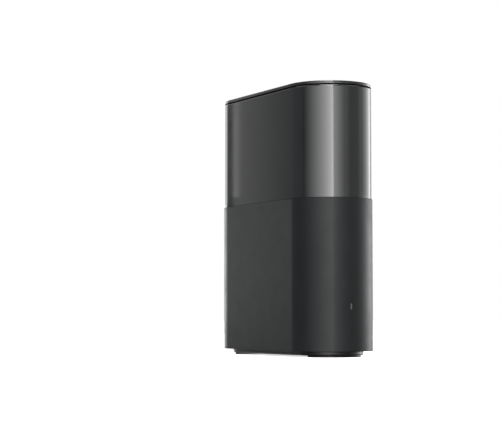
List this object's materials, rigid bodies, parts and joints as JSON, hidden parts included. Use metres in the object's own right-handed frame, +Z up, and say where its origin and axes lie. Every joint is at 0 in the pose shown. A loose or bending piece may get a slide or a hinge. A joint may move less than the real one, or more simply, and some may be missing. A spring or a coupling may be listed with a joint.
{
  "type": "mesh wifi node",
  "caption": "Tall oblong mesh wifi node with round ends, recessed plinth, floating top cover, front status light, stacked network sockets, power inlet and a pairing button.",
  "frame": {"origin": "on the ground, under the middle of the body", "axes": "+Z up; +X towards the round end with the status light; -X towards the round end with the sockets; +Y towards the back broad side"},
  "size_m": [0.172, 0.066, 0.2058],
  "materials": {
    "shell_matt": "fine matt grain",
    "shell_gloss": "smooth semi-gloss",
    "cover": "satin",
    "dark_plastic": "matt",
    "foot_rubber": "matt rubber",
    "label_film": "satin film",
    "bezel": "fine matt grain",
    "socket_plastic": "matt",
    "contact_metal": "gold flashed",
    "inlet_metal": "nickel plated",
    "button_plastic": "satin",
    "circuit_board": "solder mask",
    "chip": "moulded epoxy",
    "component": "moulded",
    "capacitor": "sleeved can",
    "shield_metal": "tinned",
    "thermal_pad": "soft silicone",
    "heatsink": "extruded",
    "frame_plastic": "matt",
    "aerial": "bare",
    "lead_jacket": "satin",
    "plug_metal": "gold flashed",
    "screw": "zinc plated",
    "light": "moulded",
    "light_guide": "frosted clear"
  },
  "bodies": {
    "housing": {"aerial_front": "aerial", "aerial_left": "aerial", "aerial_rear": "aerial", "aerial_right": "aerial", "base_plate": "dark_plastic", "base_screws": "screw", "board_screws": "screw", "dc_jack": "socket_plastic", "dc_pin": "inlet_metal", "finned_heatsink": "heatsink", "front_foot": "foot_rubber", "high_band_shield": "shield_metal", "inner_frame": "frame_plastic", "lan_contacts": "contact_metal", "lan_jack_1": "socket_plastic", "lan_jack_2": "socket_plastic", "lan_jack_3": "socket_plastic", "lan_jack_4": "socket_plastic", "lan_transformers": "component", "lead_front": "lead_jacket", "lead_left": "lead_jacket", "lead_plugs": "plug_metal", "lead_rear": "lead_jacket", "lead_right": "lead_jacket", "light_guide": "light_guide", "low_band_shield": "shield_metal", "lower_shell": "shell_matt", "main_board": "circuit_board", "memory_chips": "chip", "pair_switch": "component", "port_bezel": "bezel", "power_capacitors": "capacitor", "power_coils": "component", "processor_chip": "chip", "processor_shield": "shield_metal", "radio_chips": "chip", "rating_label": "label_film", "rear_foot": "foot_rubber", "rear_heatsink": "heatsink", "rear_thermal_pad": "thermal_pad", "status_led": "light", "switch_chip": "chip", "thermal_pads": "thermal_pad", "top_cover": "cover", "upper_shell": "shell_gloss", "vent_ring": "dark_plastic", "vent_ring_screws": "screw"},
    "button": {"pair_button": "button_plastic", "switch_stem": "component"}
  },
  "joints": [
    {"name": "pair_button_press", "type": "slide", "parent": "housing", "child": "button", "axis": [1, 0, 0], "range_m": [0, 0.0008], "stiffness_N_per_m": 600, "springref_m": -0.0008}
  ]
}
